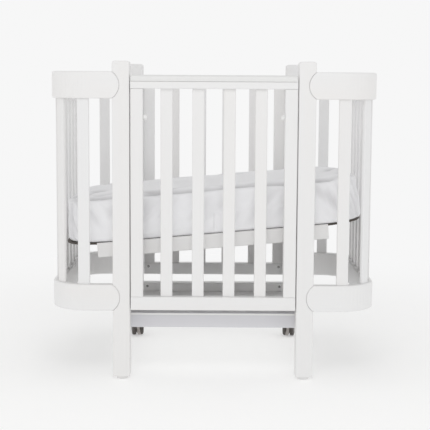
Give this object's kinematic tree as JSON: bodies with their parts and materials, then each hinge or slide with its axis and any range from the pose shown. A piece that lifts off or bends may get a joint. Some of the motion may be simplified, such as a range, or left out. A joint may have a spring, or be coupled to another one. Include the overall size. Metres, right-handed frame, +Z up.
{
  "type": "baby crib",
  "caption": "Small white wooden crib with bentwood ends, a slatted side that drops, a tilting mattress base and casters on the rear legs.",
  "frame": {"origin": "on the floor, under the middle of the crib", "axes": "+X along the crib towards the end where the mattress is raised, -Y towards the drop side at the front, +Z up"},
  "size_m": [0.966, 0.68, 0.94],
  "materials": {
    "white_paint": "satin white paint",
    "bentwood_white": "satin white paint over bent ply",
    "cap_plastic": "satin",
    "knob_plastic": "satin",
    "hardboard": "oil-tempered hardboard",
    "mattress_cover": "white fitted sheet",
    "steel": "zinc plated",
    "caster_grey": "moulded",
    "caster_dark": "moulded"
  },
  "bodies": {
    "frame": {"front_left_post": "white_paint", "rear_left_post": "white_paint", "front_right_post": "white_paint", "rear_right_post": "white_paint", "left_lower_band": "bentwood_white", "left_upper_band": "bentwood_white", "left_end_slat_1": "white_paint", "left_end_slat_2": "white_paint", "left_end_slat_3": "white_paint", "left_end_slat_4": "white_paint", "left_end_slat_5": "white_paint", "left_end_slat_6": "white_paint", "left_end_slat_7": "white_paint", "left_end_slat_8": "white_paint", "left_end_slat_9": "white_paint", "left_end_slat_10": "white_paint", "right_lower_band": "bentwood_white", "right_upper_band": "bentwood_white", "right_end_slat_1": "white_paint", "right_end_slat_2": "white_paint", "right_end_slat_3": "white_paint", "right_end_slat_4": "white_paint", "right_end_slat_5": "white_paint", "right_end_slat_6": "white_paint", "right_end_slat_7": "white_paint", "right_end_slat_8": "white_paint", "right_end_slat_9": "white_paint", "right_end_slat_10": "white_paint", "rear_side_top_rail": "white_paint", "rear_side_bottom_rail": "white_paint", "rear_side_left_stile": "white_paint", "rear_side_right_stile": "white_paint", "rear_side_slat_1": "white_paint", "rear_side_slat_2": "white_paint", "rear_side_slat_3": "white_paint", "rear_side_slat_4": "white_paint", "front_bearer": "white_paint", "rear_bearer": "white_paint", "under_bed_shelf": "white_paint", "base_pivot_rod": "steel"},
    "drop_side": {"drop_side_top_rail": "white_paint", "drop_side_rail_cap": "cap_plastic", "drop_side_bottom_rail": "white_paint", "drop_side_left_stile": "white_paint", "drop_side_right_stile": "white_paint", "drop_side_slat_1": "white_paint", "drop_side_slat_2": "white_paint", "drop_side_slat_3": "white_paint", "drop_side_slat_4": "white_paint"},
    "left_knob": {"left_lock_knob": "knob_plastic"},
    "right_knob": {"right_lock_knob": "knob_plastic"},
    "bed_base": {"base_front_rail": "white_paint", "base_rear_rail": "white_paint", "base_board": "hardboard", "mattress": "mattress_cover"},
    "support_rod": {"base_support_rod": "steel"},
    "left_caster": {"left_caster_fork": "caster_grey"},
    "left_wheels": {"left_caster_wheels": "caster_dark"},
    "right_caster": {"right_caster_fork": "caster_grey"},
    "right_wheels": {"right_caster_wheels": "caster_dark"}
  },
  "joints": [
    {"name": "drop_side_slide", "type": "slide", "parent": "frame", "child": "drop_side", "axis": [0, 0, -1], "range_m": [0, 0.165]},
    {"name": "left_knob_pull", "type": "slide", "parent": "drop_side", "child": "left_knob", "axis": [1, 0, 0], "range_m": [0, 0.01], "stiffness_N_per_m": 300, "springref_m": -0.01},
    {"name": "right_knob_pull", "type": "slide", "parent": "drop_side", "child": "right_knob", "axis": [-1, 0, 0], "range_m": [0, 0.01], "stiffness_N_per_m": 300, "springref_m": -0.01},
    {"name": "base_level", "type": "hinge", "parent": "frame", "child": "bed_base", "pos_m": [-0.2705, 0, 0.3835], "axis": [0, 1, 0], "range_deg": [0, 5.1]},
    {"name": "support_rod_drop", "type": "slide", "parent": "frame", "child": "support_rod", "axis": [0, 0, -1], "range_m": [0, 0.0483]},
    {"name": "left_caster_swivel", "type": "hinge", "parent": "frame", "child": "left_caster", "pos_m": [-0.2705, 0.308, 0.05], "axis": [0, 0, 1], "continuous": true},
    {"name": "left_wheel_roll", "type": "hinge", "parent": "left_caster", "child": "left_wheels", "pos_m": [-0.26468, 0.28061, 0.023], "axis": [0.9781, 0.2079, 0], "continuous": true},
    {"name": "right_caster_swivel", "type": "hinge", "parent": "frame", "child": "right_caster", "pos_m": [0.2705, 0.308, 0.05], "axis": [0, 0, 1], "continuous": true},
    {"name": "right_wheel_roll", "type": "hinge", "parent": "right_caster", "child": "right_wheels", "pos_m": [0.26468, 0.28061, 0.023], "axis": [0.9781, -0.2079, 0], "continuous": true}
  ],
  "couplings": [
    {"joint": "support_rod_drop", "follows": "base_level", "m_per_rad": 0.54128}
  ]
}
